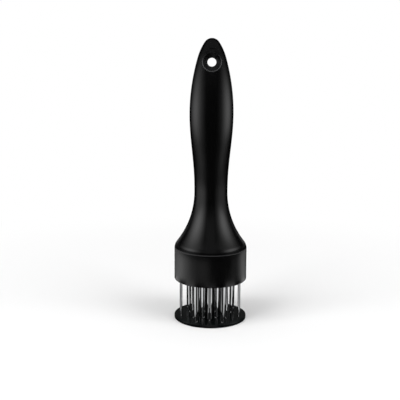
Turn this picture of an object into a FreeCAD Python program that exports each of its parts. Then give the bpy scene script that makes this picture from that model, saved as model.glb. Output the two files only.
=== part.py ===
import FreeCAD, Part
import math
import os
import Sketcher

# A blade meat tenderizer: a hollow hanging handle over a round head of 21 spear
# blades, and a guard disc that slides up the blades against a return spring.
# Millimetres, +Z up. The origin is the middle of the guard disc's underside.

SIZES = [
    # Head and guard disc
    ("head_radius", 26.0, "outside of the collar and of the guard disc"),
    ("guard_thickness", 2.4, "guard disc, without its hub"),
    ("guard_gap", 26.4, "guard disc to collar at rest"),
    ("guard_edge", 0.5, "break of the guard disc's rims"),
    ("hub_wall", 1.4, "raised hub, beside the stem's foot"),
    ("hub_height", 1.4, "hub above the guard disc"),
    ("collar_height", 23.2, "visible height of the collar"),
    ("collar_wall", 1.8, "collar, beside the blade holder"),
    ("collar_foot_break", 1.0, "break of the collar's lower edge"),
    ("lip_width", 1.3, "lip that carries the blade holder, in from the collar's bore"),
    ("lip_height", 1.8, "lip under the blade holder"),
    # Blades
    ("ring_count", 7.0, "blades in each ring"),
    ("inner_ring_gap", 0.2, "guide boss to the inner blades' heads"),
    ("middle_ring_step", 4.7, "inner ring to the middle ring"),
    ("outer_ring_inset", 2.5, "holder's edge to the outer blades"),
    ("inner_ring_turn", -14.0, "first inner blade, degrees from +X"),
    ("middle_ring_turn", -39.7, "first middle blade, degrees from +X"),
    ("outer_ring_turn", -14.0, "first outer blade, degrees from +X"),
    ("blade_width", 3.5, "blade in the holder, along the ring"),
    ("blade_tip_width", 2.8, "blade where its point begins"),
    ("blade_ridge", 1.15, "blade across its ridges"),
    ("blade_edge", 0.3, "blade at its two long edges"),
    ("point_length", 3.0, "bevelled point of a blade"),
    ("point_width", 0.5, "blade's blunt end"),
    ("point_ridge", 0.25, "blunt end across the ridges"),
    ("point_height", 1.6, "blade ends above the guard disc's underside"),
    ("head_width", 5.4, "head that hangs the blade in the holder"),
    ("head_depth", 2.2, "head across the blade"),
    ("head_height", 2.0, "head along the blade"),
    ("blade_fit", 0.05, "blade to its slot in the holder"),
    ("guard_slot_clearance", 0.45, "blade to its slot in the guard disc"),
    # Blade holder and clamp plate
    ("holder_thickness", 9.4, "slotted part of the blade holder"),
    ("holder_clearance", 0.2, "collar's bore to the pieces inside it"),
    ("boss_wall", 1.82, "guide boss round the stem"),
    ("boss_height", 8.0, "guide boss above the slotted part"),
    ("clamp_thickness", 3.0, "plate over the blade heads"),
    # Guide stem, washer and screw
    ("stem_radius", 7.5, "outside of the guide stem"),
    ("stem_wall", 2.4, "guide stem's wall"),
    ("stem_fit", 0.08, "stem to the holder's bore, running"),
    ("stem_socket_depth", 1.2, "stem's foot in the guard disc"),
    ("stem_socket_fit", 0.05, "stem's foot to its socket"),
    ("stem_cap", 14.0, "solid top of the stem, for the screw"),
    ("stop_clearance", 0.1, "washer to the guide boss at rest"),
    ("washer_overlap", 1.42, "stop washer's reach past the holder's bore"),
    ("washer_thickness", 1.2, "stop washer"),
    ("screw_radius", 1.9, "stop screw's shank"),
    ("screw_length", 10.0, "stop screw in the stem"),
    ("screw_fit", 0.05, "shank to its holes"),
    ("screw_head_radius", 3.6, "stop screw's head"),
    ("screw_head_height", 2.0, "stop screw's head"),
    ("screw_recess_radius", 1.6, "driver recess in the head"),
    ("screw_recess_depth", 1.1, "driver recess in the head"),
    # Return spring and its seat
    ("spring_radius", 5.5, "axis to the middle of the wire"),
    ("spring_wire", 0.5, "radius of the wire"),
    ("spring_length", 44.0, "fitted length of the spring"),
    ("spring_turns", 11.0, "coils"),
    ("spring_seat_fit", 0.05, "spring to its two seats"),
    ("seat_thickness", 2.6, "spring seat's plate"),
    ("seat_pin_length", 6.0, "seat's pin inside the spring"),
    ("seat_pin_clearance", 0.4, "seat's pin to the spring's inside"),
    ("seat_clearance", 0.3, "seat's plate to the neck's bore"),
    # Handle
    ("wall", 2.4, "bell's wall"),
    ("seam_break", 0.3, "break of the edges that meet at the seam"),
    ("neck_radius", 11.8, "round neck, the narrowest part of the handle"),
    ("neck_rise", 40.5, "seam to the neck"),
    ("rim_arc", 5.0, "round curve of the bell over the seam"),
    ("grip_half_width", 15.45, "widest part of the oval grip"),
    ("grip_half_depth", 10.5, "oval grip, front to back"),
    ("grip_rise", 55.3, "neck to the widest part of the grip"),
    ("flatten_rise", 34.0, "neck to where the grip has its full depth"),
    ("crown_height", 52.2, "widest part of the grip to the tip"),
    ("crown_side_turn", 16.2, "degrees that the crown leans in over its side arc"),
    ("crown_tip_turn", 34.0, "degrees that it leans in where the tip arc begins"),
    ("shoulder_arc", 37.1, "radius between the crown's side and tip"),
    ("spigot_wall", 2.6, "ring inside the collar"),
    ("seat_ledge", 2.35, "ledge in the neck that the spring seat bears on"),
    ("core_taper", 2.0, "core's lean over its whole height"),
    ("core_height", 62.0, "core above the spring seat"),
    # Hanging hole
    ("hang_drop", 16.5, "tip to the hanging hole's axis"),
    ("hang_radius", 3.25, "hanging hole"),
    ("hang_span", 12.4, "length of the hanging hole, between its flats"),
    ("hang_flat_radius", 7.3, "round flat at each end of the hole"),
]

doc = FreeCAD.newDocument("blade_meat_tenderizer")
sheet = doc.addObject("Spreadsheet::Sheet", "Sizes")
for row, (alias, value, meaning) in enumerate(SIZES, start=1):
    sheet.set(f"A{row}", meaning)
    sheet.set(f"B{row}", str(value))
    sheet.setAlias(f"B{row}", alias)
doc.recompute()

# Heights above the guard disc's underside, worked out from the sheet.
COLLAR_FOOT = "(Sizes.guard_thickness + Sizes.guard_gap)"
SEAM = f"({COLLAR_FOOT} + Sizes.collar_height)"
HOLDER_FOOT = f"({COLLAR_FOOT} + Sizes.lip_height)"
HOLDER_TOP = f"({HOLDER_FOOT} + Sizes.holder_thickness)"
CLAMP_FOOT = f"({HOLDER_TOP} + Sizes.head_height)"
CLAMP_TOP = f"({CLAMP_FOOT} + Sizes.clamp_thickness)"
BOSS_TOP = f"({HOLDER_TOP} + Sizes.boss_height)"
STEM_FOOT = "(Sizes.guard_thickness - Sizes.stem_socket_depth)"
STEM_TOP = f"({BOSS_TOP} + Sizes.stop_clearance)"
WASHER_TOP = f"({STEM_TOP} + Sizes.washer_thickness)"
SEAT_FOOT = f"({WASHER_TOP} + Sizes.spring_length)"
SEAT_TOP = f"({SEAT_FOOT} + Sizes.seat_thickness)"
NECK = f"({SEAM} + Sizes.neck_rise)"
GRIP = f"({NECK} + Sizes.grip_rise)"
TIP = f"({GRIP} + Sizes.crown_height)"
HANG = f"({TIP} - Sizes.hang_drop)"

# Radii that follow from the pieces they fit.
COLLAR_BORE = "(Sizes.head_radius - Sizes.collar_wall)"
INSERT_RADIUS = f"({COLLAR_BORE} - Sizes.holder_clearance)"
SPIGOT_BORE = f"({INSERT_RADIUS} - Sizes.spigot_wall)"
HOLDER_BORE = "(Sizes.stem_radius + Sizes.stem_fit)"
BOSS_RADIUS = f"({HOLDER_BORE} + Sizes.boss_wall)"
LIP_RADIUS = f"({COLLAR_BORE} - Sizes.lip_width)"
NECK_BORE = "(Sizes.neck_radius - Sizes.wall)"
INNER_RING = f"({BOSS_RADIUS} + Sizes.inner_ring_gap + Sizes.head_depth / 2)"
RINGS = {
    "inner": INNER_RING,
    "middle": f"({INNER_RING} + Sizes.middle_ring_step)",
    "outer": f"({INSERT_RADIUS} - Sizes.outer_ring_inset)",
}

NOTHING = "0 * Sizes.wall"


def number(expression):
    """The present value of a formula on the sheet."""
    value = sheet.evalExpression(expression)
    return float(getattr(value, "Value", value))


def bind(item, **formulas):
    """Ties an object's properties to formulas; a double underscore stands for a dot."""
    for name, formula in formulas.items():
        item.setExpression(name.replace("__", "."), formula)
    return item


def body_named(label):
    """An empty body, which becomes one sub-part."""
    body = doc.addObject("PartDesign::Body", label)
    body.Label = label
    return body


def origin_part(body, role):
    """One of a body's own origin planes or axes."""
    for feature in body.Origin.OriginFeatures:
        if feature.Role == role:
            return feature
    raise ValueError(role)


def arc(start, end, radius, turn):
    """The short arc between two points; turn is 1 anticlockwise and -1 clockwise."""
    chord = end - start
    middle = (start + end) * 0.5
    across = FreeCAD.Vector(-chord.y, chord.x, 0).normalize() * turn
    rise = max(radius ** 2 - chord.Length ** 2 / 4, 0) ** 0.5
    centre = middle + across * rise
    crest = centre - across * radius
    return Part.Arc(start, crest, end)


def sketch_outline(body, name, plane, corners, lift=None, turn=None):
    """A sketch of one closed outline, with every corner tied to the sheet.

    A corner is (across, up). A corner (across, up, radius, turn) starts an arc.
    """
    sketch = body.newObject("Sketcher::SketchObject", name)
    sketch.AttachmentSupport = [(origin_part(body, plane), "")]
    sketch.MapMode = "FlatFace"
    if lift:
        bind(sketch, AttachmentOffset__Base__z=lift)
    if turn:
        bind(sketch, AttachmentOffset__Rotation__Angle=turn)
    points = [FreeCAD.Vector(number(corner[0]), number(corner[1]), 0) for corner in corners]
    count = len(corners)
    starts = []
    for index, corner in enumerate(corners):
        start = points[index]
        end = points[(index + 1) % count]
        if len(corner) == 2:
            sketch.addGeometry(Part.LineSegment(start, end))
        else:
            sketch.addGeometry(arc(start, end, number(corner[2]), corner[3]))
        clockwise = len(corner) == 4 and corner[3] < 0
        starts.append(2 if clockwise else 1)
    for index, corner in enumerate(corners):
        following = (index + 1) % count
        ends_at = 3 - starts[index]
        sketch.addConstraint(
            Sketcher.Constraint("Coincident", index, ends_at, following, starts[following]))
        for kind, place in (("DistanceX", 0), ("DistanceY", 1)):
            value = number(corner[place])
            row = sketch.addConstraint(Sketcher.Constraint(kind, index, starts[index], value))
            sketch.setExpression(f"Constraints[{row}]", corner[place])
        if len(corner) == 4:
            row = sketch.addConstraint(Sketcher.Constraint("Radius", index, number(corner[2])))
            sketch.setExpression(f"Constraints[{row}]", corner[2])
    return sketch


def revolve(body, name, corners):
    """A ring or plug, turned about Z from an outline of radii and heights."""
    sketch = sketch_outline(body, f"{name}_outline", "XZ_Plane", corners)
    feature = body.newObject("PartDesign::Revolution", name)
    feature.Profile = sketch
    feature.ReferenceAxis = (sketch, ["V_Axis"])
    feature.Angle = 360
    return feature


def box_corners(across, up, middle=NOTHING):
    """A rectangle across by up, with its middle on the horizontal axis."""
    return [
        (f"{middle} - ({across}) / 2", f"-({up}) / 2"),
        (f"{middle} + ({across}) / 2", f"-({up}) / 2"),
        (f"{middle} + ({across}) / 2", f"({up}) / 2"),
        (f"{middle} - ({across}) / 2", f"({up}) / 2"),
    ]


def blade_corners(ridge, width, edge, middle=NOTHING):
    """A blade's six-sided section: its flats face along X and its width runs along Y."""
    return [
        (f"{middle} - ({ridge}) / 2", NOTHING),
        (f"{middle} - ({edge}) / 2", f"-({width}) / 2"),
        (f"{middle} + ({edge}) / 2", f"-({width}) / 2"),
        (f"{middle} + ({ridge}) / 2", NOTHING),
        (f"{middle} + ({edge}) / 2", f"({width}) / 2"),
        (f"{middle} - ({edge}) / 2", f"({width}) / 2"),
    ]


def cut_ring(body, name, corners, turn):
    """Cuts one slot through a body and repeats it round the ring."""
    pocket = body.newObject("PartDesign::Pocket", name)
    pocket.Profile = sketch_outline(body, f"{name}_outline", "XY_Plane", corners, turn=turn)
    pocket.Type = "ThroughAll"
    pocket.Midplane = True
    pattern = body.newObject("PartDesign::PolarPattern", f"{name}_ring")
    pattern.Originals = [pocket]
    pattern.Axis = (origin_part(body, "Z_Axis"), [""])
    pattern.Angle = 360
    bind(pattern, Occurrences="Sizes.ring_count")
    body.Tip = pattern
    return pattern


CHORDS_PER_COIL = 8
WIRE_SIDES = 6


# ---------------------------------------------------------------- guard assembly

def make_guard_disc():
    """Thin round plate with a slot for each blade and a hub that holds the stem's foot."""
    body = body_named("guard_disc")
    edge = "Sizes.guard_edge"
    hub = "Sizes.stem_radius + Sizes.hub_wall"
    hub_top = "Sizes.guard_thickness + Sizes.hub_height"
    socket = "Sizes.stem_radius + Sizes.stem_socket_fit"
    revolve(body, "guard_plate", [
        (NOTHING, NOTHING),
        (f"Sizes.head_radius - {edge}", NOTHING),
        ("Sizes.head_radius", edge),
        ("Sizes.head_radius", f"Sizes.guard_thickness - {edge}"),
        (f"Sizes.head_radius - {edge}", "Sizes.guard_thickness"),
        (hub, "Sizes.guard_thickness"),
        (hub, hub_top),
        (socket, hub_top),
        (socket, STEM_FOOT),
        (NOTHING, STEM_FOOT),
    ])
    for ring in RINGS:
        across = "Sizes.blade_ridge + 2 * Sizes.guard_slot_clearance"
        along = "Sizes.blade_width + 2 * Sizes.guard_slot_clearance"
        corners = box_corners(across, along, RINGS[ring])
        cut_ring(body, f"guard_slot_{ring}", corners, f"Sizes.{ring}_ring_turn")
    return body


def make_guide_stem():
    """Tube that slides in the blade holder, closed at the top round the screw's pilot hole."""
    body = body_named("guide_stem")
    pilot = "Sizes.screw_radius + Sizes.screw_fit"
    bore = "Sizes.stem_radius - Sizes.stem_wall"
    revolve(body, "stem_tube", [
        (bore, STEM_FOOT),
        ("Sizes.stem_radius", STEM_FOOT),
        ("Sizes.stem_radius", STEM_TOP),
        (pilot, STEM_TOP),
        (pilot, f"{STEM_TOP} - Sizes.stem_cap"),
        (bore, f"{STEM_TOP} - Sizes.stem_cap"),
    ])
    return body


def make_stop_washer():
    """Washer on the stem's end, wider than the holder's bore, that stops the guard's fall."""
    body = body_named("stop_washer")
    hole = "Sizes.screw_radius + Sizes.screw_fit"
    edge = f"{HOLDER_BORE} + Sizes.washer_overlap"
    revolve(body, "washer_ring", [
        (hole, STEM_TOP),
        (edge, STEM_TOP),
        (edge, WASHER_TOP),
        (hole, WASHER_TOP),
    ])
    return body


def make_stop_screw():
    """Screw that holds the washer on the stem, with a square driver recess."""
    body = body_named("stop_screw")
    top = f"{WASHER_TOP} + Sizes.screw_head_height"
    revolve(body, "screw_turned", [
        (NOTHING, f"{STEM_TOP} - Sizes.screw_length"),
        ("Sizes.screw_radius", f"{STEM_TOP} - Sizes.screw_length"),
        ("Sizes.screw_radius", WASHER_TOP),
        ("Sizes.screw_head_radius", WASHER_TOP),
        ("Sizes.screw_head_radius", top),
        (NOTHING, top),
    ])
    recess = body.newObject("PartDesign::Pocket", "screw_recess")
    side = "2 * Sizes.screw_recess_radius"
    recess.Profile = sketch_outline(
        body, "screw_recess_outline", "XY_Plane", box_corners(side, side), lift=top)
    bind(recess, Length="Sizes.screw_recess_depth")
    return body


# ---------------------------------------------------------------- blade head

def make_collar():
    """Round skirt under the handle; its lip carries the blade holder."""
    body = body_named("head_collar")
    foot = "Sizes.collar_foot_break"
    crest = "Sizes.seam_break"
    revolve(body, "collar_ring", [
        (LIP_RADIUS, COLLAR_FOOT),
        (f"Sizes.head_radius - {foot}", COLLAR_FOOT),
        ("Sizes.head_radius", f"{COLLAR_FOOT} + {foot}"),
        ("Sizes.head_radius", f"{SEAM} - {crest}"),
        (f"Sizes.head_radius - {crest}", SEAM),
        (COLLAR_BORE, SEAM),
        (COLLAR_BORE, HOLDER_FOOT),
        (LIP_RADIUS, HOLDER_FOOT),
    ])
    return body


def make_blade_holder():
    """Slotted block that the blades hang in, with the boss that guides the stem."""
    body = body_named("blade_holder")
    revolve(body, "holder_block", [
        (HOLDER_BORE, HOLDER_FOOT),
        (INSERT_RADIUS, HOLDER_FOOT),
        (INSERT_RADIUS, HOLDER_TOP),
        (BOSS_RADIUS, HOLDER_TOP),
        (BOSS_RADIUS, BOSS_TOP),
        (HOLDER_BORE, BOSS_TOP),
    ])
    for ring in RINGS:
        corners = blade_corners(
            "Sizes.blade_ridge + 2 * Sizes.blade_fit",
            "Sizes.blade_width + 2 * Sizes.blade_fit",
            "Sizes.blade_edge + 2 * Sizes.blade_fit",
            RINGS[ring])
        cut_ring(body, f"holder_slot_{ring}", corners, f"Sizes.{ring}_ring_turn")
    return body


def make_clamp_plate():
    """Washer-shaped plate between the blade heads and the handle's spigot."""
    body = body_named("blade_clamp_plate")
    bore = f"{BOSS_RADIUS} + Sizes.holder_clearance"
    revolve(body, "clamp_ring", [
        (bore, CLAMP_FOOT),
        (INSERT_RADIUS, CLAMP_FOOT),
        (INSERT_RADIUS, CLAMP_TOP),
        (bore, CLAMP_TOP),
    ])
    return body


def place_blade(item, ring, index):
    """Stands a blade in its slot, with its head on the holder."""
    turn = f"(Sizes.{ring}_ring_turn + 360 * {index} / Sizes.ring_count)"
    bind(
        item,
        Placement__Base__x=f"{RINGS[ring]} * cos({turn})",
        Placement__Base__y=f"{RINGS[ring]} * sin({turn})",
        Placement__Base__z=HOLDER_TOP,
        Placement__Rotation__Angle=turn)


def ground_away(body, name, plane, mirror_plane, corners):
    """Grinds a flat off one side of a blade, and the same off the other side."""
    pocket = body.newObject("PartDesign::Pocket", name)
    pocket.Profile = sketch_outline(body, f"{name}_outline", plane, corners)
    pocket.Type = "ThroughAll"
    pocket.Midplane = True
    mirrored = body.newObject("PartDesign::Mirrored", f"{name}_opposite")
    mirrored.Originals = [pocket]
    mirrored.MirrorPlane = (origin_part(body, mirror_plane), [""])
    body.Tip = mirrored


def make_blades():
    """One tapered, ridged spear blade with a head, and its copies round the three rings."""
    blade = body_named("blade_01")
    reach = f"({HOLDER_TOP} - Sizes.point_height)"
    bar = blade.newObject("PartDesign::Pad", "blade_bar")
    bar.Profile = sketch_outline(
        blade, "blade_section", "XY_Plane",
        blade_corners("Sizes.blade_ridge", "Sizes.blade_width", "Sizes.blade_edge"))
    bar.Reversed = True
    bind(bar, Length=reach)
    point = f"(Sizes.point_length - {reach})"
    ground_away(blade, "blade_taper", "YZ_Plane", "XZ_Plane", [
        ("Sizes.blade_width / 2", "-Sizes.holder_thickness"),
        ("Sizes.blade_tip_width / 2", point),
        ("Sizes.point_width / 2", f"-{reach}"),
        ("Sizes.blade_width", f"-{reach}"),
        ("Sizes.blade_width", "-Sizes.holder_thickness"),
    ])
    ground_away(blade, "blade_bevel", "XZ_Plane", "YZ_Plane", [
        ("Sizes.blade_ridge / 2", point),
        ("Sizes.point_ridge / 2", f"-{reach}"),
        ("Sizes.blade_ridge", f"-{reach}"),
        ("Sizes.blade_ridge", point),
    ])
    head = blade.newObject("PartDesign::Pad", "blade_head")
    head.Profile = sketch_outline(
        blade, "blade_head_outline", "XY_Plane", box_corners("Sizes.head_depth", "Sizes.head_width"))
    bind(head, Length="Sizes.head_height")
    blades = []
    per_ring = round(number("Sizes.ring_count"))
    for ring in RINGS:
        for index in range(per_ring):
            item = blade
            if blades:
                label = f"blade_{len(blades) + 1:02d}"
                item = doc.addObject("App::Link", label)
                item.Label = label
                item.LinkedObject = blade
            place_blade(item, ring, index)
            blades.append(item)
    return blades


# ---------------------------------------------------------------- return spring

def make_spring():
    """Compression spring between the stop washer and the seat in the neck.

    The wire is swept with a six-sided section along short straight chords of a helix.
    """
    wire = number("Sizes.spring_wire")
    radius = number("Sizes.spring_radius")
    turns = number("Sizes.spring_turns")
    start = number(f"{WASHER_TOP} + Sizes.spring_seat_fit + Sizes.spring_wire")
    rise = number("Sizes.spring_length - 2 * (Sizes.spring_seat_fit + Sizes.spring_wire)")
    steps = round(turns * CHORDS_PER_COIL)
    path = []
    for step in range(steps + 1):
        turn = 2 * math.pi * step / CHORDS_PER_COIL
        level = start + rise * step / steps
        path.append(FreeCAD.Vector(radius * math.cos(turn), radius * math.sin(turn), level))
    spine = Part.makePolygon(path)
    section = Part.Wire(Part.makePolygon(polygon_round(path[0], path[1] - path[0], wire)))
    spring = doc.addObject("Part::Feature", "return_spring")
    spring.Label = "return_spring"
    spring.Shape = spine.makePipeShell([section], True, False, 1)
    spring.Placement = FreeCAD.Placement()
    return spring


def polygon_round(middle, direction, radius):
    """The closed corners of a six-sided wire section, square to a direction."""
    across = direction.cross(FreeCAD.Vector(0, 0, 1)).normalize()
    turned = []
    for corner in range(WIRE_SIDES + 1):
        spin = FreeCAD.Rotation(direction, 360 * corner / WIRE_SIDES)
        turned.append(middle + spin.multVec(across) * radius)
    return turned


def make_spring_seat():
    """Round seat against the bore's step in the neck, with a pin inside the spring's end."""
    body = body_named("spring_seat")
    plate = f"{NECK_BORE} - Sizes.seat_clearance"
    pin = "Sizes.spring_radius - Sizes.spring_wire - Sizes.seat_pin_clearance"
    revolve(body, "seat_turned", [
        (NOTHING, f"{SEAT_FOOT} - Sizes.seat_pin_length"),
        (pin, f"{SEAT_FOOT} - Sizes.seat_pin_length"),
        (pin, SEAT_FOOT),
        (plate, SEAT_FOOT),
        (plate, SEAT_TOP),
        (NOTHING, SEAT_TOP),
    ])
    return body


# ---------------------------------------------------------------- handle

# The bell: a round arc at the rim and a hollow one up to the neck, tangent to each other.
RIM = f"({SEAM} + Sizes.seam_break)"
BELL_RISE = "(Sizes.neck_rise - Sizes.seam_break)"
BELL_SLOPE = f"(2 * atan((Sizes.head_radius - Sizes.neck_radius) / {BELL_RISE}))"
FLARE_ARC = f"({BELL_RISE} / sin({BELL_SLOPE}) - Sizes.rim_arc)"

# The crown: side, shoulder and tip arcs, tangent to each other, that come upright from the
# grip and level onto the axis. Their turns and the shoulder's arc set the other two arcs.
SIDE_TURN = "Sizes.crown_side_turn"
TIP_TURN = "Sizes.crown_tip_turn"
CROWN_ACROSS = f"(Sizes.grip_half_width - Sizes.shoulder_arc * (cos({SIDE_TURN}) - cos({TIP_TURN})))"
CROWN_UP = f"(Sizes.crown_height - Sizes.shoulder_arc * (sin({TIP_TURN}) - sin({SIDE_TURN})))"
CROWN_SCALE = (
    f"((1 - cos({SIDE_TURN})) * (1 - sin({TIP_TURN})) - cos({TIP_TURN}) * sin({SIDE_TURN}))")
SIDE_ARC = f"(({CROWN_ACROSS} * (1 - sin({TIP_TURN})) - cos({TIP_TURN}) * {CROWN_UP}) / {CROWN_SCALE})"
TIP_ARC = f"(((1 - cos({SIDE_TURN})) * {CROWN_UP} - sin({SIDE_TURN}) * {CROWN_ACROSS}) / {CROWN_SCALE})"

# Steps between the level sections of the grip and of each crown arc. Close sections keep
# the ruled faces between them nearly flat.
GRIP_STEPS = 10
SIDE_STEPS = 12
SHOULDER_STEPS = 8
TIP_STEPS = 16
# How the grip widens, and how the crown thins as it narrows; 1 is even.
GRIP_SWELL = 1.15
CROWN_SWELL = 0.8


def blend(share):
    """A smooth rise from 0 to 1, level at both ends."""
    return f"((1 - cos(180 * {share})) / 2)"


def shares(steps):
    """The ends of a stretch's equal steps, as shares of the stretch."""
    return [f"{step} / {steps}" for step in range(1, steps + 1)]


def loft(name, levels):
    """A solid through level ovals: half width along X, half depth along Y, and height.

    An oval's depth is at most its width.
    """
    sections = []
    for place, (width, depth, height) in enumerate(levels):
        section = doc.addObject("Part::Ellipse", f"{name}_section_{place}")
        depth = f"min({depth}; {width})"
        sections.append(bind(section, MajorRadius=width, MinorRadius=depth, Placement__Base__z=height))
    solid = doc.addObject("Part::Loft", name)
    solid.Sections = sections
    solid.Solid = True
    solid.Ruled = True
    return solid


def grip_levels():
    """Ovals from the round neck to the widest part of the grip."""
    levels = [("Sizes.neck_radius", "Sizes.neck_radius", NECK)]
    for share in shares(GRIP_STEPS):
        widen = f"pow({blend(share)}; {GRIP_SWELL})"
        flatten = blend(f"min(1; {share} * Sizes.grip_rise / Sizes.flatten_rise)")
        levels.append((
            f"(Sizes.neck_radius + (Sizes.grip_half_width - Sizes.neck_radius) * {widen})",
            f"(Sizes.neck_radius + (Sizes.grip_half_depth - Sizes.neck_radius) * {flatten})",
            f"{NECK} + Sizes.grip_rise * {share}"))
    return levels


def crown_levels():
    """Ovals over the side, shoulder and tip arcs of the crown, to a small flat at the tip."""
    outline = []
    for share in shares(SIDE_STEPS):
        turn = f"({share} * {SIDE_TURN})"
        outline.append((
            f"(Sizes.grip_half_width - {SIDE_ARC} * (1 - cos({turn})))",
            f"{GRIP} + {SIDE_ARC} * sin({turn})"))
    side_across, side_up = outline[-1]
    for share in shares(SHOULDER_STEPS):
        turn = f"({SIDE_TURN} + {share} * ({TIP_TURN} - {SIDE_TURN}))"
        outline.append((
            f"({side_across} - Sizes.shoulder_arc * (cos({SIDE_TURN}) - cos({turn})))",
            f"{side_up} + Sizes.shoulder_arc * (sin({turn}) - sin({SIDE_TURN}))"))
    for share in shares(TIP_STEPS)[:-1]:
        turn = f"({TIP_TURN} + {share} * (90 - {TIP_TURN}))"
        outline.append((f"({TIP_ARC} * cos({turn}))", f"{TIP} - {TIP_ARC} * (1 - sin({turn}))"))
    outline[-1] = (outline[-1][0], TIP)
    levels = []
    for width, height in outline:
        depth = f"(Sizes.grip_half_depth * pow({width} / Sizes.grip_half_width; {CROWN_SWELL}))"
        levels.append((width, depth, height))
    return levels


def bell_core(share):
    """A corner of the hollow inside the bell, one wall in from the flare's arc."""
    turn = f"({share} * {BELL_SLOPE})"
    arc_inside = f"({FLARE_ARC} + Sizes.wall)"
    return (
        f"Sizes.neck_radius + {FLARE_ARC} - {arc_inside} * cos({turn})",
        f"{NECK} - {arc_inside} * sin({turn})")


def round_along_y(name, start, length):
    """A round cutter along Y at the hanging hole's height."""
    item = doc.addObject("Part::Cylinder", name)
    item.Placement.Rotation = FreeCAD.Rotation(FreeCAD.Vector(1, 0, 0), -90)
    return bind(item, Height=length, Placement__Base__y=start, Placement__Base__z=HANG)


def make_handle():
    """One hollow moulding: spigot, bell, round neck, oval grip and crown, cored from below."""
    bell = body_named("handle_bell")
    revolve(bell, "bell_turned", [
        (NOTHING, CLAMP_TOP),
        (INSERT_RADIUS, CLAMP_TOP),
        (INSERT_RADIUS, SEAM),
        ("Sizes.head_radius - Sizes.seam_break", SEAM),
        ("Sizes.head_radius", RIM, "Sizes.rim_arc", 1),
        (f"Sizes.head_radius - Sizes.rim_arc * (1 - cos({BELL_SLOPE}))",
         f"{RIM} + Sizes.rim_arc * sin({BELL_SLOPE})", FLARE_ARC, -1),
        ("Sizes.neck_radius", NECK),
        (NOTHING, NECK),
    ])
    grip = loft("handle_grip", grip_levels() + crown_levels())
    core = body_named("handle_core")
    core_top = f"({SEAT_TOP} + Sizes.core_height)"
    core_foot = f"({NECK_BORE} - Sizes.seat_ledge)"
    revolve(core, "core_turned", [
        (NOTHING, CLAMP_TOP),
        (SPIGOT_BORE, CLAMP_TOP),
        (SPIGOT_BORE, f"{SEAM} + Sizes.wall"),
        bell_core(0.75),
        bell_core(0.375),
        (NECK_BORE, NECK),
        (NECK_BORE, SEAT_TOP),
        (core_foot, SEAT_TOP),
        (f"{core_foot} - Sizes.core_taper", core_top),
        (NOTHING, core_top),
    ])
    reach = "Sizes.neck_radius"
    hole = bind(round_along_y("hang_hole", f"-{reach}", f"2 * {reach}"), Radius="Sizes.hang_radius")
    front = bind(
        round_along_y("hang_flat_front", f"-{reach}", f"{reach} - Sizes.hang_span / 2"),
        Radius="Sizes.hang_flat_radius")
    back = bind(
        round_along_y("hang_flat_back", "Sizes.hang_span / 2", f"{reach} - Sizes.hang_span / 2"),
        Radius="Sizes.hang_flat_radius")
    solid = doc.addObject("Part::MultiFuse", "handle_solid")
    solid.Shapes = [bell, grip]
    cutters = doc.addObject("Part::MultiFuse", "handle_cutters")
    cutters.Shapes = [core, hole, front, back]
    handle = doc.addObject("Part::Cut", "handle")
    handle.Label = "handle"
    handle.Base = solid
    handle.Tool = cutters
    return handle


SUBPARTS = [
    make_handle(),
    make_collar(),
    make_blade_holder(),
    make_clamp_plate(),
    *make_blades(),
    make_spring_seat(),
    make_spring(),
    make_guard_disc(),
    make_guide_stem(),
    make_stop_washer(),
    make_stop_screw(),
]
doc.recompute()

for item in doc.Objects:
    if "Invalid" in item.State or "Error" in item.State:
        raise RuntimeError(f"{item.Label} did not build")
os.makedirs("parts", exist_ok=True)
for item in SUBPARTS:
    shape = Part.getShape(item)
    if shape.isNull() or not shape.isValid() or len(shape.Solids) != 1:
        raise RuntimeError(f"{item.Label} is not one sound solid")
for item in SUBPARTS:
    Part.getShape(item).exportStep(f"parts/{item.Label}.step")
print(len(SUBPARTS), "sub-parts written")
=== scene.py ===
import bmesh
import bpy
import math
from mathutils import Matrix, Quaternion, Vector


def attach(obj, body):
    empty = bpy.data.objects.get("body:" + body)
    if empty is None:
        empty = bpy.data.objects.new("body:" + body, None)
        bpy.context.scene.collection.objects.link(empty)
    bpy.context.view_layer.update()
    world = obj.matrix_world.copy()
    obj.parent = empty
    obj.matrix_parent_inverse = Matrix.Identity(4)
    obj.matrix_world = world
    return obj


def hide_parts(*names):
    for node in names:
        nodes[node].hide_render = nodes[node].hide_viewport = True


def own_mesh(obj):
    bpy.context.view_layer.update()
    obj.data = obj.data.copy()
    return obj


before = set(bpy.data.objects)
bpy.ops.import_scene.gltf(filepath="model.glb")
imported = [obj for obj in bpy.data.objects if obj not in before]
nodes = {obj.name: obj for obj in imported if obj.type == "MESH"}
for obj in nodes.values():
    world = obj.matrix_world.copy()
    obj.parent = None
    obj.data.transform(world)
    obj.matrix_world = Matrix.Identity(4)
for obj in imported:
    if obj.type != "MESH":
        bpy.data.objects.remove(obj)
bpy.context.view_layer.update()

MM = 0.001

# ------------------------------------------------------------------ sizes, in millimetres
HEAD_R = 26.0
SEAM = 52.0
WALL = 2.4

# guard disc and its hub
DISC_T = 2.4
DISC_RIM = 0.45
HUB_R = 8.9
HUB_TOP = 3.8
HUB_FILLET = 0.35
HUB_EDGE = 0.3
SOCKET_R = 7.55
SOCKET_FLOOR = 1.2
# a cross-shaped slot: half its length and width, and how far and half how wide its arms are
SLOT_LONG = 2.2
SLOT_WIDE = 1.0
ARM_REACH = 1.35
ARM_WIDE = 0.6

# collar and blade holder
COLLAR_FOOT = 28.6
COLLAR_SIDE = (34.8, 42.8)
COLLAR_FOOT_ARC = 1.4
COLLAR_TOP_EDGE = 0.25
COLLAR_BORE = 24.2
LIP_R = 22.9
LIP_EDGE = 0.3
HOLDER_FOOT = 30.6
HOLDER_TOP = 40.0

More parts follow.
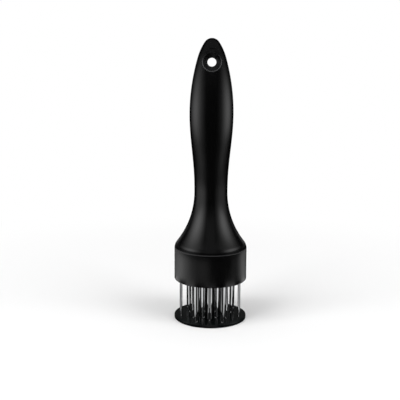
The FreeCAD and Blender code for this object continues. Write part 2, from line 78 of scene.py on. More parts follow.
# blades: radius and first angle of the inner, middle and outer ring, in degrees
RINGS = [(10.7, -14.0), (15.4, -39.7), (21.5, -14.0)]
PER_RING = 7
BLADE_PLACES = [
    (radius, math.radians(turn + 360 * index / PER_RING))
    for radius, turn in RINGS for index in range(PER_RING)]
BLADE_HEAD_H = 2.0
BLADE_HEAD_W = 5.4
BLADE_HEAD_T = 2.1
BLADE_HEAD_RIB = 0.05
BLADE_W = 3.3
BLADE_T = 0.95
BLADE_TIP_W = 3.0
BLADE_END_W = 0.6
BLADE_END_T = 0.3
BLADE_FOOT = 1.6
POINT = 1.7
POINT_LEVELS = (0.05, 0.35, 0.7, 1.0)
# the rib on each face: its height, and half its width at the top, on the flank and at the foot
RIB = 0.52
RIB_TOP = 0.19
RIB_FLANK = 0.27
RIB_BASE = 0.33
# where the ground bevel starts, as a share of the half width, and half the edge's thickness
LAND = 0.68
GROUND_EDGE = 0.12
# rounding along the rib's top and along the ground edge
RIB_ROUND = 0.03
EDGE_ROUND = 0.04

# return spring
SPRING_R = 5.5
WIRE = 0.5
SPRING_TURNS = 11
SPRING_FOOT = 49.35
SPRING_TOP = 93.25

# handle: spigot, core and grip
SPIGOT_R = 24.0
SPIGOT_BORE = 21.4
SPIGOT_FOOT = 45.0
FOOT_EDGE = 0.15
FOOT_LAND = 0.6
SEAT_TOP = 95.9
CORE_R = 7.05
CORE_TAPER = 2
CORE_TOP = 157.9
NECK_Z = 92.5
NECK_R = 11.8
GRIP_Z = 147.8
GRIP_W = 15.45
GRIP_D = 10.5
FLATTEN = 34.0
GRIP_EASE = 1.15
CROWN_FLATTENING = 0.8
TIP_Z = 200.0
TIP_CAP = 6

# handle: hanging hole, with a shallow cone round it inside a round lip
HOLE_Z = 183.5
HOLE_R = 3.12
HOLE_EDGE = 0.25
CONE_Y = 5.65
CONE_SLOPE = 0.34
LIP_AT = 6.3
LIP_W = 0.6
DISH_REACH = 8.9
DISH_MARGIN = 0.25
DISH_RINGS = [HOLE_R + out for out in (0, 0.06, 0.18, 0.4)] + [4.2, 5.2, 5.9]
DISH_RINGS += [6.2 + 0.08 * i for i in range(12)] + [7.3, 7.8, 8.25, 8.6]
DISH_FOOT = 172

# faces round the turned parts and the handle, and round the hanging hole
SEGS = 160
DISH_SEGS = 120

# the bell: rim arc and flare arc, tangent
RIM_ARC = 7.5
RIM_Z = SEAM - 0.5
RISE = NECK_Z - RIM_Z
BELL_SLOPE = 2 * math.atan((HEAD_R - NECK_R) / RISE)
BELL_JOIN = RIM_Z + RIM_ARC * math.sin(BELL_SLOPE)
FLARE_ARC = RISE / math.sin(BELL_SLOPE) - RIM_ARC

# the crown: side, shoulder and tip arcs, tangent where the side has turned by T1 and by T2
T1 = math.radians(16.2)
T2 = math.radians(34.0)
SHOULDER = 37.1
_in = GRIP_W - SHOULDER * (math.cos(T1) - math.cos(T2))
_up = (TIP_Z - GRIP_Z) - SHOULDER * (math.sin(T2) - math.sin(T1))
_both = (1 - math.cos(T1)) * (1 - math.sin(T2)) - math.cos(T2) * math.sin(T1)
SIDE_ARC = (_in * (1 - math.sin(T2)) - math.cos(T2) * _up) / _both
TIP_ARC = ((1 - math.cos(T1)) * _up - math.sin(T1) * _in) / _both


# ------------------------------------------------------------------ outlines
def blend(t):
    """A cosine step from 0 to 1."""
    return (1 - math.cos(math.pi * min(max(t, 0), 1))) / 2


def smooth(t):
    """A cubic step from 0 to 1."""
    t = min(max(t, 0), 1)
    return t * t * (3 - 2 * t)


def spaced(low, high, count):
    """Evenly spaced numbers from low up to, but without, high."""
    return [low + (high - low) * i / count for i in range(count)]


def bell_radius(z):
    """Radius of the round bell between the seam and the neck."""
    if z < BELL_JOIN:
        rise = max(z - RIM_Z, 0)
        return HEAD_R - RIM_ARC + math.sqrt(max(RIM_ARC ** 2 - rise ** 2, 0))
    return NECK_R + FLARE_ARC - math.sqrt(FLARE_ARC ** 2 - (NECK_Z - z) ** 2)


def crown_width(z):
    """Half width of the crown over its three arcs."""
    rise = z - GRIP_Z
    z1 = SIDE_ARC * math.sin(T1)
    z2 = z1 + SHOULDER * (math.sin(T2) - math.sin(T1))
    if rise <= z1:
        return GRIP_W - SIDE_ARC + math.sqrt(SIDE_ARC ** 2 - rise ** 2)
    if rise <= z2:
        middle = z1 - SHOULDER * math.sin(T1)
        x1 = GRIP_W - SIDE_ARC * (1 - math.cos(T1))
        return x1 - SHOULDER * math.cos(T1) + math.sqrt(SHOULDER ** 2 - (rise - middle) ** 2)
    down = TIP_Z - z
    return math.sqrt(max(TIP_ARC ** 2 - (TIP_ARC - down) ** 2, 0))


def section(z):
    """Half width and half depth of the handle at a height."""
    if z <= NECK_Z:
        r = bell_radius(z)
        return r, r
    if z <= GRIP_Z:
        t = (z - NECK_Z) / (GRIP_Z - NECK_Z)
        wide = NECK_R + (GRIP_W - NECK_R) * blend(t) ** GRIP_EASE
        deep = NECK_R + (GRIP_D - NECK_R) * blend((z - NECK_Z) / FLATTEN)
        return wide, deep
    wide = crown_width(z)
    return wide, GRIP_D * (wide / GRIP_W) ** CROWN_FLATTENING


def dish_y(x, z, rho):
    """How far out the surface stands near the hanging hole, at the distance rho from its axis."""
    wide, deep = section(z)
    out = deep * math.sqrt(max(1 - (x / wide) ** 2, 0))
    cone = CONE_Y + CONE_SLOPE * (rho - HOLE_R)
    if out > cone:
        out = cone + (out - cone) * smooth((rho - LIP_AT) / LIP_W)
    if rho - HOLE_R < HOLE_EDGE:
        out -= HOLE_EDGE - math.sqrt(HOLE_EDGE ** 2 - (HOLE_EDGE - (rho - HOLE_R)) ** 2)
    return out


def core_corner(share):
    """A corner of the hollow inside the bell, one wall in from the flare."""
    turn = share * BELL_SLOPE
    inside = FLARE_ARC + WALL
    return NECK_R + FLARE_ARC - inside * math.cos(turn), NECK_Z - inside * math.sin(turn)


# ------------------------------------------------------------------ mesh helpers
def add_object(name, bm):
    """An object in the scene from a bmesh, which is freed."""
    mesh = bpy.data.meshes.new(name)
    bm.to_mesh(mesh)
    bm.free()
    obj = bpy.data.objects.new(name, mesh)
    bpy.context.scene.collection.objects.link(obj)
    return obj


def new_object(name, bm, sharp=32):
    """A smooth-shaded piece from a bmesh in millimetres, with its hard edges marked."""
    bmesh.ops.recalc_face_normals(bm, faces=bm.faces)
    bm.normal_update()
    for face in bm.faces:
        face.smooth = True
    limit = math.radians(sharp)
    for edge in bm.edges:
        if len(edge.link_faces) == 2 and edge.calc_face_angle(0) > limit:
            edge.smooth = False
    obj = add_object(name, bm)
    obj.data.transform(Matrix.Scale(MM, 4))
    return obj


def oval(bm, wide, deep, z, segs=SEGS):
    """A level row of vertices round the axis."""
    turns = [2 * math.pi * i / segs for i in range(segs)]
    return [bm.verts.new((wide * math.cos(turn), deep * math.sin(turn), z)) for turn in turns]


def row_at(bm, points, radius, angle, z):
    """A level row from points across and along a ring, at an angle on that ring."""
    return [
        bm.verts.new((
            (radius + across) * math.cos(angle) - along * math.sin(angle),
            (radius + across) * math.sin(angle) + along * math.cos(angle), z))
        for across, along in points]


def bridge(bm, low, high):
    """Faces between two closed rows; a row of one vertex is a point on the axis."""
    count = max(len(low), len(high))
    for i in range(count):
        j = (i + 1) % count
        if len(low) == 1:
            bm.faces.new((low[0], high[j], high[i]))
        elif len(high) == 1:
            bm.faces.new((low[i], low[j], high[0]))
        else:
            bm.faces.new((low[i], low[j], high[j], high[i]))


def bridge_all(bm, rows):
    """Faces from each row to the next."""
    for low, high in zip(rows, rows[1:]):
        bridge(bm, low, high)


def turn_profile(bm, profile):
    """A turned surface through (radius, height) points; a radius of 0 closes on the axis."""
    rows = [oval(bm, r, r, z) if r else [bm.verts.new((0, 0, z))] for r, z in profile]
    bridge_all(bm, rows)
    return rows


def corner(cx, cz, r, start, stop, steps):
    """Points of a small arc in the profile plane, in degrees."""
    turns = [math.radians(start + (stop - start) * i / steps) for i in range(steps + 1)]
    return [(cx + r * math.cos(turn), cz + r * math.sin(turn)) for turn in turns]


# ------------------------------------------------------------------ handle
def cut_dishes(bm):
    """Take out the patches of the shell that the hanging hole's dishes fill, front and back."""
    gone = [
        face for face in bm.faces
        if abs(face.calc_center_median().x) < DISH_REACH
        and any(
            math.hypot(v.co.x, v.co.z - HOLE_Z) < DISH_REACH + DISH_MARGIN for v in face.verts)]
    bmesh.ops.delete(bm, geom=gone, context="FACES")
    loose = [v for v in bm.verts if not v.link_faces]
    bmesh.ops.delete(bm, geom=loose, context="VERTS")


def add_dish(bm, side):
    """One dish on the front (-1) or the back (1); its innermost row is given back."""
    border = [
        edge for edge in bm.edges
        if len(edge.link_faces) == 1 and (edge.verts[0].co.y + edge.verts[1].co.y) * side > 0]
    grid = []
    for rho in DISH_RINGS:
        row = []
        for k in range(DISH_SEGS):
            turn = 2 * math.pi * k / DISH_SEGS
            x = rho * math.sin(turn)
            z = HOLE_Z + rho * math.cos(turn)
            row.append(bm.verts.new((x, side * dish_y(x, z, rho), z)))
        grid.append(row)
    bridge_all(bm, grid)
    rim = grid[-1]
    rim_edges = [bm.edges.get((rim[k], rim[(k + 1) % DISH_SEGS])) for k in range(DISH_SEGS)]
    bmesh.ops.triangle_fill(bm, edges=border + rim_edges, use_beauty=True, normal=(0, side, 0))
    return grid[0]


def make_handle():
    """The one-piece moulding: spigot, bell, neck, oval grip and crown, with its hanging hole."""
    bm = bmesh.new()
    start = SEAM + FOOT_EDGE
    seat = bell_radius(start)
    spigot = [(SPIGOT_BORE, SPIGOT_FOOT), (SPIGOT_R, SPIGOT_FOOT), (SPIGOT_R, SEAM)]
    spigot += [(seat - FOOT_LAND, SEAM)] + corner(seat - FOOT_EDGE, start, FOOT_EDGE, 270, 350, 4)
    rows = [oval(bm, r, r, z) for r, z in spigot]
    heights = spaced(RIM_Z, BELL_JOIN, 10) + spaced(BELL_JOIN, NECK_Z, 44)
    heights += spaced(NECK_Z, GRIP_Z, 46) + spaced(GRIP_Z, DISH_FOOT, 22)
    heights += spaced(DISH_FOOT, TIP_Z - TIP_CAP, 40)
    heights += [TIP_Z - TIP_CAP * math.cos(math.pi / 2 * i / 12) ** 2 for i in range(12)]
    rows += [oval(bm, *section(z), z) for z in heights if z > start + 0.05]
    rows.append([bm.verts.new((0, 0, TIP_Z))])
    bridge_all(bm, rows)
    # the core, closed at its top
    core = [(SPIGOT_BORE, SEAM + WALL), core_corner(0.75), core_corner(0.375)]
    core += [(NECK_R - WALL, NECK_Z), (NECK_R - WALL, SEAT_TOP)]
    core += [(CORE_R, SEAT_TOP), (CORE_R - CORE_TAPER, CORE_TOP)]
    inside = [rows[0]] + [oval(bm, r, r, z) for r, z in core] + [[bm.verts.new((0, 0, CORE_TOP))]]
    bridge_all(bm, [row[::-1] for row in inside])
    cut_dishes(bm)
    front = add_dish(bm, -1)
    back = add_dish(bm, 1)
    bridge(bm, front, back)
    return new_object("handle_moulding", bm, sharp=38)


handle = make_handle()
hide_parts("handle")
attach(handle, "head")


# ------------------------------------------------------------------ collar
def make_collar():
    """The round skirt under the bell, with a lip inside its foot."""
    arc, edge = COLLAR_FOOT_ARC, COLLAR_TOP_EDGE
    profile = corner(LIP_R + LIP_EDGE, COLLAR_FOOT + LIP_EDGE, LIP_EDGE, 180, 270, 4)
    profile += corner(HEAD_R - arc, COLLAR_FOOT + arc, arc, 270, 360, 10)
    profile += [(HEAD_R, z) for z in COLLAR_SIDE]
    profile += corner(HEAD_R - edge, SEAM - edge, edge, 0, 90, 5)
    profile += [(COLLAR_BORE, SEAM), (COLLAR_BORE, HOLDER_FOOT), (LIP_R, HOLDER_FOOT)]
    bm = bmesh.new()
    rows = turn_profile(bm, profile)
    bridge(bm, rows[-1], rows[0])
    return new_object("collar_skirt", bm)


collar = make_collar()
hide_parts("head_collar")
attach(collar, "head")


# ------------------------------------------------------------------ guard disc
# a cross-shaped slot: long along the ring, with two short arms across it
SLOT_HALF = [
    (SLOT_WIDE, -SLOT_LONG), (SLOT_WIDE, -ARM_WIDE), (ARM_REACH, -ARM_WIDE),
    (ARM_REACH, ARM_WIDE), (SLOT_WIDE, ARM_WIDE), (SLOT_WIDE, SLOT_LONG)]
SLOT_OUTLINE = SLOT_HALF + [(-across, -along) for across, along in SLOT_HALF]


def make_disc():
    """Slotted round plate with rounded rims, and the hub that holds the stem's foot."""
    profile = corner(HEAD_R - DISC_RIM, DISC_RIM, DISC_RIM, 270, 360, 6)
    profile += corner(HEAD_R - DISC_RIM, DISC_T - DISC_RIM, DISC_RIM, 0, 90, 6)
    hub = [(HUB_R + HUB_FILLET, DISC_T)]
    hub += corner(HUB_R + HUB_FILLET, DISC_T + HUB_FILLET, HUB_FILLET, 270, 180, 4)[1:]
    hub += corner(HUB_R - HUB_EDGE, HUB_TOP - HUB_EDGE, HUB_EDGE, 0, 90, 4)
    hub += [(SOCKET_R, HUB_TOP), (SOCKET_R, SOCKET_FLOOR), (0, SOCKET_FLOOR)]
    bm = bmesh.new()
    turn_profile(bm, profile)
    turn_profile(bm, hub)
    # the flat faces are filled between these loops, on top and underneath
    loops = {DISC_T: [], 0.0: []}
    for edge in bm.edges:
        if len(edge.link_faces) == 1:
            loops[DISC_T if edge.verts[0].co.z > DISC_T / 2 else 0.0].append(edge)
    for radius, angle in BLADE_PLACES:
        rows = {z: row_at(bm, SLOT_OUTLINE, radius, angle, z) for z in loops}
        bridge(bm, rows[0.0], rows[DISC_T])
        for z, row in rows.items():
            loops[z] += [bm.edges.get((row[i - 1], row[i])) for i in range(len(row))]
    for z, edges in loops.items():
        normal = (0, 0, 1 if z else -1)
        bmesh.ops.triangle_fill(bm, edges=edges, use_beauty=True, normal=normal)
    return new_object("slotted_disc", bm)


disc = make_disc()
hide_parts("guard_disc")
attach(disc, "guard")


# ------------------------------------------------------------------ blades
def blade_section(width, thick, rib):
    """A blade's section: ground bevels, flat lands and a rib down the middle of each face."""
    half, side = width / 2, thick / 2
    edge = min(GROUND_EDGE, side * 0.6)
    top = side + rib
    quarter = [
        (top, 0), (top - RIB_ROUND, RIB_TOP), (side + rib * 0.06, RIB_FLANK), (side, RIB_BASE),
        (side, LAND * half), (edge + EDGE_ROUND / 2, half - EDGE_ROUND), (edge - EDGE_ROUND, half)]
    right = [(x, -y) for x, y in reversed(quarter[1:])] + quarter
    return right + [(-x, -y) for x, y in right]


def make_blade(name, radius, angle):
    """One spear blade: a wide head, a ribbed and nearly straight bar, and a bevelled point."""
    shoulder = BLADE_FOOT + POINT
    levels = [
        (HOLDER_TOP + BLADE_HEAD_H, BLADE_HEAD_W, BLADE_HEAD_T, BLADE_HEAD_RIB),
        (HOLDER_TOP, BLADE_HEAD_W, BLADE_HEAD_T, BLADE_HEAD_RIB),
        (HOLDER_TOP, BLADE_W, BLADE_T, RIB), (HOLDER_FOOT, BLADE_W, BLADE_T, RIB),
        (shoulder, BLADE_TIP_W, BLADE_T, RIB)]
    for share in POINT_LEVELS:
        levels.append((
            shoulder - POINT * share, BLADE_TIP_W + (BLADE_END_W - BLADE_TIP_W) * share,
            BLADE_T + (BLADE_END_T - BLADE_T) * share, RIB * (1 - share)))
    bm = bmesh.new()
    rows = [
        row_at(bm, blade_section(width, thick, rib), radius, angle, z)
        for z, width, thick, rib in levels]
    bridge_all(bm, rows)
    bm.faces.new(rows[0])
    bm.faces.new(rows[-1])
    return new_object(name, bm, sharp=30)


blades = []
for number, (radius, angle) in enumerate(BLADE_PLACES, 1):
    blade = make_blade(f"ground_blade_{number:02d}", radius, angle)
    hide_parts(f"blade_{number:02d}")
    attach(blade, "head")
    blades.append(blade)


# ------------------------------------------------------------------ return spring
def make_spring():
    """A round-wire compression spring with a closed coil at each end."""
    low, high = SPRING_FOOT + WIRE, SPRING_TOP - WIRE
    steps_a_turn, sides = 24, 8
    bm = bmesh.new()
    rows = []
    for step in range(SPRING_TURNS * steps_a_turn + 1):
        turns = step / steps_a_turn
        if turns < 1:
            z = low + 2 * WIRE * turns
        elif turns > SPRING_TURNS - 1:
            z = high - 2 * WIRE * (SPRING_TURNS - turns)
        else:
            z = low + 2 * WIRE + (high - low - 4 * WIRE) * (turns - 1) / (SPRING_TURNS - 2)
        turn = 2 * math.pi * turns
        row = []
        for side in range(sides):
            spin = 2 * math.pi * side / sides
            r = SPRING_R + WIRE * math.cos(spin)
            row.append(bm.verts.new((
                r * math.cos(turn), r * math.sin(turn), z + WIRE * math.sin(spin))))
        rows.append(row)
    bridge_all(bm, rows)
    bm.faces.new(rows[0])
    bm.faces.new(rows[-1])
    return new_object("coil_spring", bm, sharp=60)


spring = make_spring()
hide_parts("return_spring")
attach(spring, "head")


# ------------------------------------------------------------------ node helpers
def node(tree, kind, **values):
    item = tree.nodes.new(kind)
    for key, value in values.items():
        setattr(item, key, value)
    return item


def chain(tree, kind, *sources, **values):
    """A node whose first inputs are the sources: sockets are linked and numbers are set."""
    item = node(tree, kind, **values)
    for socket, source in zip(item.inputs, sources):
        if isinstance(source, bpy.types.NodeSocket):
            tree.links.new(source, socket)
        else:
            socket.default_value = source
    return item


def ramp(tree, source, stops, interpolation="LINEAR"):
    """A colour ramp of greys or colours, driven by a socket."""
    item = node(tree, "ShaderNodeValToRGB")
    tree.links.new(source, item.inputs["Fac"])
    item.color_ramp.interpolation = interpolation
    elements = item.color_ramp.elements
    while len(elements) > 1:
        elements.remove(elements[0])
    elements[0].position = stops[0][0]
    for place, value in stops[1:]:
        elements.new(place)
    for element, (place, value) in zip(elements, stops):
        grey = isinstance(value, (int, float))
        element.color = (value, value, value, 1) if grey else (*value, 1)
    return item.outputs["Color"]


def multiply(tree, one, two):
    """The product of two shades."""
    both = node(tree, "ShaderNodeMix", data_type="RGBA", blend_type="MULTIPLY")
    both.inputs["Factor"].default_value = 1
    tree.links.new(one, both.inputs["A"])
    tree.links.new(two, both.inputs["B"])
    return both.outputs["Result"]


def noise(tree, place, scale, detail):
    item = chain(tree, "ShaderNodeTexNoise", place)
    item.inputs["Scale"].default_value = scale
    item.inputs["Detail"].default_value = detail
    return item.outputs["Fac"]


def bump(tree, shader, height, strength, depth):
    item = node(tree, "ShaderNodeBump")
    item.inputs["Strength"].default_value = strength
    item.inputs["Distance"].default_value = depth
    tree.links.new(height, item.inputs["Height"])
    tree.links.new(item.outputs["Normal"], shader.inputs["Normal"])


def band(tree, value, stops, low, high):
    """A ramp over a distance in millimetres, with its stops in millimetres too."""
    span = chain(tree, "ShaderNodeMapRange", value, low * MM, high * MM)
    places = [((at - low) / (high - low), value) for at, value in stops]
    return ramp(tree, span.outputs["Result"], places)


def azimuth_and_height(tree, place):
    """Azimuth as 0 to 1, from back by the left, front and right to back, and the height."""
    parts = chain(tree, "ShaderNodeSeparateXYZ", place)
    flip = chain(tree, "ShaderNodeMath", parts.outputs["Y"], -1, operation="MULTIPLY")
    turn = chain(
        tree, "ShaderNodeMath", parts.outputs["X"], flip.outputs["Value"], operation="ARCTAN2")
    share = chain(
        tree, "ShaderNodeMath", turn.outputs["Value"], 1 / (2 * math.pi), 0.5,
        operation="MULTIPLY_ADD")
    return share.outputs["Value"], parts.outputs["Z"]


def around(tree, share, stops):
    """A ramp over the azimuth, with its stops in degrees from the front."""
    return ramp(tree, share, [(0.5 + degrees / 360, value) for degrees, value in stops])


def most(tree, *sockets):
    """The largest of a few values, such as whether a ray is of one of these kinds."""
    result = sockets[0]
    for socket in sockets[1:]:
        larger = chain(tree, "ShaderNodeMath", result, socket, operation="MAXIMUM")
        result = larger.outputs["Value"]
    return result


# ------------------------------------------------------------------ materials
# depth of the plastic's grain and of the steel's grinding lines
GRAIN_DEPTH = 0.1 * MM
LINE_DEPTH = 0.05 * MM
IOR = 1.5


def material(name, colour, rough, metallic=0.0):
    mat = bpy.data.materials.new(name)
    mat.use_nodes = True
    tree = mat.node_tree
    shader = tree.nodes["Principled BSDF"]
    shader.inputs["Base Color"].default_value = (*colour, 1)
    shader.inputs["Roughness"].default_value = rough
    shader.inputs["Metallic"].default_value = metallic
    shader.inputs["IOR"].default_value = IOR
    return mat, tree, shader


def shade(colour, times):
    """A colour made lighter or darker."""
    return tuple(min(channel * times, 1) for channel in colour)


def plastic(name, colour, rough, spread, grain, grain_scale, painted_highlight=None, highlight_colour=None):
    """Moulded black plastic: uneven gloss at two scales and a very fine grain, with a painted
    highlight mixed into its colour where one is given.
    """
    mat, tree, shader = material(name, colour, rough)
    place = node(tree, "ShaderNodeTexCoord").outputs["Object"]
    cloud = noise(tree, place, scale=60, detail=4)
    gloss = ramp(tree, cloud, [(0.3, rough - spread), (0.7, rough + spread)])
    tree.links.new(gloss, shader.inputs["Roughness"])
    tint = ramp(tree, cloud, [(0.25, shade(colour, 0.8)), (0.75, shade(colour, 1.2))])
    # mix in the painted highlight, where one is given
    if painted_highlight:
        highlight_mix = node(tree, "ShaderNodeMix", data_type="RGBA")
        tree.links.new(painted_highlight(tree, place), highlight_mix.inputs["Factor"])
        tree.links.new(tint, highlight_mix.inputs["A"])
        highlight_mix.inputs["B"].default_value = (*highlight_colour, 1)
        tint = highlight_mix.outputs["Result"]
    tree.links.new(tint, shader.inputs["Base Color"])
    fine = noise(tree, place, grain_scale, detail=3)
    bump(tree, shader, fine, grain, GRAIN_DEPTH)
    return mat


def steel(name, colour, rough, scale, strength, stretch=(1, 1, 1)):
    """Ground steel: fine lines along the stretched axis, and a slight change of tone."""
    mat, tree, shader = material(name, colour, rough, metallic=1.0)
    mapping = node(tree, "ShaderNodeMapping")
    mapping.inputs["Scale"].default_value = stretch
    place = node(tree, "ShaderNodeTexCoord").outputs["Object"]
    tree.links.new(place, mapping.inputs["Vector"])
    lines = noise(tree, mapping.outputs["Vector"], scale, detail=5)
    gloss = ramp(tree, lines, [(0.3, rough * 0.7), (0.7, rough * 1.4)])
    tree.links.new(gloss, shader.inputs["Roughness"])
    tone = ramp(tree, lines, [(0.3, shade(colour, 0.9)), (0.7, shade(colour, 1.06))])
    tree.links.new(tone, shader.inputs["Base Color"])
    bump(tree, shader, lines, strength, LINE_DEPTH)
    return mat


def painted_lip_highlight(tree, place):
    """A painted highlight on the lower part of the lip round the hanging hole, front and back,
    lighter below where light from above falls, with a faint painted sheen in the dish inside.
    """
    offset = chain(
        tree, "ShaderNodeVectorMath", place, (0, 0, HOLE_Z * MM), operation="SUBTRACT")
    flat = chain(
        tree, "ShaderNodeVectorMath", offset.outputs["Vector"], (1, 0, 1), operation="MULTIPLY")
    reach = chain(tree, "ShaderNodeVectorMath", flat.outputs["Vector"], operation="LENGTH")
    strip = band(tree, reach.outputs["Value"], [
        (3.0, 0.06), (5.6, 0.1), (LIP_AT - 0.15, 0.1), (LIP_AT, 1), (LIP_AT + 0.4, 1),
        (LIP_AT + LIP_W, 0)], 3, 8)
    parts = chain(tree, "ShaderNodeSeparateXYZ", offset.outputs["Vector"])
    lower = band(
        tree, parts.outputs["Z"], [(-8, 0.8), (-3, 1), (0, 0.9), (3, 0.15), (8, 0)], -8, 8)
    return multiply(tree, strip, lower)


def painted_rim_highlight(tree, place):
    """A painted highlight along the collar's top edge at the seam."""
    parts = chain(tree, "ShaderNodeSeparateXYZ", place)
    return band(
        tree, parts.outputs["Z"], [(SEAM - 0.7, 0), (SEAM - 0.55, 1), (SEAM, 1)], SEAM - 2, SEAM)


# the handle's plastic carries a painted highlight on the lower lip round the hanging hole, and a
# faint painted sheen in its dish
satin = plastic(
    "satin_black", (0.0008, 0.0008, 0.0009), rough=0.22, spread=0.015, grain=0.06,
    grain_scale=9000, painted_highlight=painted_lip_highlight, highlight_colour=(0.06, 0.06, 0.062))
# the collar's plastic carries a painted highlight along its top edge at the seam
collar_black = plastic(
    "collar_black", (0.0010, 0.0010, 0.0011), rough=0.2, spread=0.02, grain=0.05,
    grain_scale=9000, painted_highlight=painted_rim_highlight, highlight_colour=(0.024, 0.024, 0.025))
gloss_black = plastic(
    "gloss_black", (0.0026, 0.0036, 0.0036), rough=0.07, spread=0.02, grain=0.02,
    grain_scale=4000)
inner_black = plastic(
    "inner_black", (0.003, 0.003, 0.0032), rough=0.45, spread=0.05, grain=0.1,
    grain_scale=5000)
blade_metal = steel(
    "blade_metal", (0.74, 0.75, 0.76), rough=0.055, scale=2500, strength=0.03,
    stretch=(1, 1, 0.04))
plain_metal = steel("plain_metal", (0.6, 0.6, 0.62), rough=0.3, scale=1500, strength=0.1)
spring_metal = steel("spring_metal", (0.55, 0.55, 0.56), rough=0.25, scale=2000, strength=0.1)


def dress(obj, mat):
    obj.data.materials.clear()
    obj.data.materials.append(mat)


dress(handle, satin)
dress(collar, collar_black)
dress(disc, gloss_black)
dress(spring, spring_metal)
for blade in blades:
    dress(blade, blade_metal)
for name in ("blade_clamp_plate", "stop_washer", "stop_screw"):
    dress(nodes[name], plain_metal)
for name in ("guide_stem", "blade_holder", "spring_seat"):
    dress(nodes[name], inner_black)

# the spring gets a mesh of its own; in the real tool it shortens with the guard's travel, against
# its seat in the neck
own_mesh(spring)


# ------------------------------------------------------------------ floor
def make_floor():
    """A pale floor that keeps the shadow and turns to plain white away from the object."""
    bm = bmesh.new()
    bmesh.ops.create_circle(bm, cap_ends=True, segments=96, radius=6.0)
    obj = add_object("floor", bm)
    obj.location.z = -0.05 * MM
    # reflections see the glowing cards instead
    obj.visible_glossy = False
    mat, tree, shader = material("pale_floor", (0.9, 0.9, 0.9), 0.7)
    shader.inputs["Specular IOR Level"].default_value = 0.0
    place = node(tree, "ShaderNodeTexCoord").outputs["Object"]
    span = chain(tree, "ShaderNodeVectorMath", place, operation="LENGTH")
    fade = ramp(tree, span.outputs["Value"], [(0.0, 0.0), (0.05, 0.0), (0.4, 1.0)], "EASE")
    path = node(tree, "ShaderNodeLightPath").outputs
    shown = most(
        tree, path["Is Camera Ray"], path["Is Glossy Ray"], path["Is Transmission Ray"])
    seen = chain(tree, "ShaderNodeMath", shown, fade, operation="MULTIPLY")
    white = chain(tree, "ShaderNodeEmission", (1, 1, 1, 1))
    mixer = chain(
        tree, "ShaderNodeMixShader", seen.outputs["Value"], shader.outputs["BSDF"],
        white.outputs["Emission"])
    tree.links.new(mixer.outputs["Shader"], tree.nodes["Material Output"].inputs["Surface"])
    dress(obj, mat)
    return obj


floor = make_floor()


# ------------------------------------------------------------------ soft lights for reflections
def glow_object(name, bm, strength, tone, clear=False):
    """A glowing surface that only reflections see; a clear one adds to what is behind it."""
    obj = add_object(name, bm)
    obj.visible_camera = False
    obj.visible_diffuse = False
    obj.visible_shadow = False
    obj.visible_transmission = False
    mat = bpy.data.materials.new(name)
    mat.use_nodes = True
    tree = mat.node_tree
    tree.nodes.clear()
    place = node(tree, "ShaderNodeTexCoord").outputs["Object"]
    surface = chain(tree, "ShaderNodeEmission", tone(tree, place), strength).outputs["Emission"]
    if clear:
        through = node(tree, "ShaderNodeBsdfTransparent").outputs["BSDF"]
        surface = chain(tree, "ShaderNodeAddShader", surface, through).outputs["Shader"]
    chain(tree, "ShaderNodeOutputMaterial", surface)
    dress(obj, mat)
    return obj


def card(name, inner_r, outer_r, stops, strength=1.0):
    """A level ring on the floor, brighter and darker round the object."""
    bm = bmesh.new()
    bridge(bm, *[oval(bm, r * MM, r * MM, 0, 96) for r in (inner_r, outer_r)])

    def tone(tree, place):
        return around(tree, azimuth_and_height(tree, place)[0], stops)

    obj = glow_object(name, bm, strength, tone)
    obj.location.z = -0.4 * MM


def soft_wall(name, radius, round_stops, rise_stops, strength, clear=False):
    """A curved upright diffuser beside the object; its glow fades round it and with height."""
    left, right = round_stops[0][0], round_stops[-1][0]
    low, high = rise_stops[0][0], rise_stops[-1][0]
    panels = 48
    turns = [math.radians(left + (right - left) * i / panels) for i in range(panels + 1)]
    bm = bmesh.new()
    foot, top = [[
        bm.verts.new((radius * MM * math.sin(turn), -radius * MM * math.cos(turn), z * MM))
        for turn in turns] for z in (low, high)]
    for i in range(panels):
        bm.faces.new((foot[i], foot[i + 1], top[i + 1], top[i]))

    def tone(tree, place):
        share, rise = azimuth_and_height(tree, place)
        upward = band(tree, rise, rise_stops, low, high)
        return multiply(tree, around(tree, share, round_stops), upward)

    glow_object(name, bm, strength, tone, clear)


def strips(bright, dark, dimmed):
    """Light strips round the blades every 60 degrees, dimmed at the front and the back."""
    stops = []
    for centre in range(-180, 181, 60):
        share = dimmed if centre % 180 == 0 else 1
        for away, glow in ((-19, dark), (-11, bright), (11, bright), (19, dark)):
            if abs(centre + away) < 180:
                stops.append((centre + away, share * glow))
    return stops


# a stop is (degrees from the front, brightness) in GLOW and ROUND, (millimetres up, brightness)
# in RISE
COLLAR_GLOW = [
    (-175, 0.05), (-134, 0.22), (-97, 0.95), (-80, 0.8), (-56, 0.34), (-38, 0.22), (-17, 0.23),
    (5, 0.03), (60, 0.01), (68, 0.1), (86, 0.14), (112, 0.6), (147, 0.08), (175, 0.05)]
DISC_GLOW = [(-178, 0.1), (-110, 0.1), (-85, 0), (85, 0), (110, 0.1), (178, 0.1)]
LEFT_ROUND = [(-118, 0), (-100, 0.27), (-80, 0.83), (-70, 1), (-62, 0.95), (-40, 0.26), (-22, 0)]
LEFT_RISE = [
    (26, 0), (40, 0.15), (56, 0.17), (74, 0.15), (86, 0.08), (98, 0.06), (116, 0.8), (130, 1),
    (160, 1), (196, 0.64), (230, 0.32), (260, 0.14), (300, 0.05)]
RIGHT_ROUND = [(22, 0), (40, 0.12), (60, 0.83), (70, 1), (82, 0.8), (100, 0.2), (118, 0)]
RIGHT_RISE = [
    (26, 0), (40, 0.08), (56, 0.09), (75, 0.09), (86, 0.05), (98, 0.06), (116, 0.8), (130, 1),
    (160, 1), (186, 0.72), (206, 0.44), (232, 0.16), (300, 0.04)]
NECK_LEFT_ROUND = [(-110, 0), (-90, 0.7), (-60, 1), (-42, 1), (-24, 0.1), (-20, 0)]
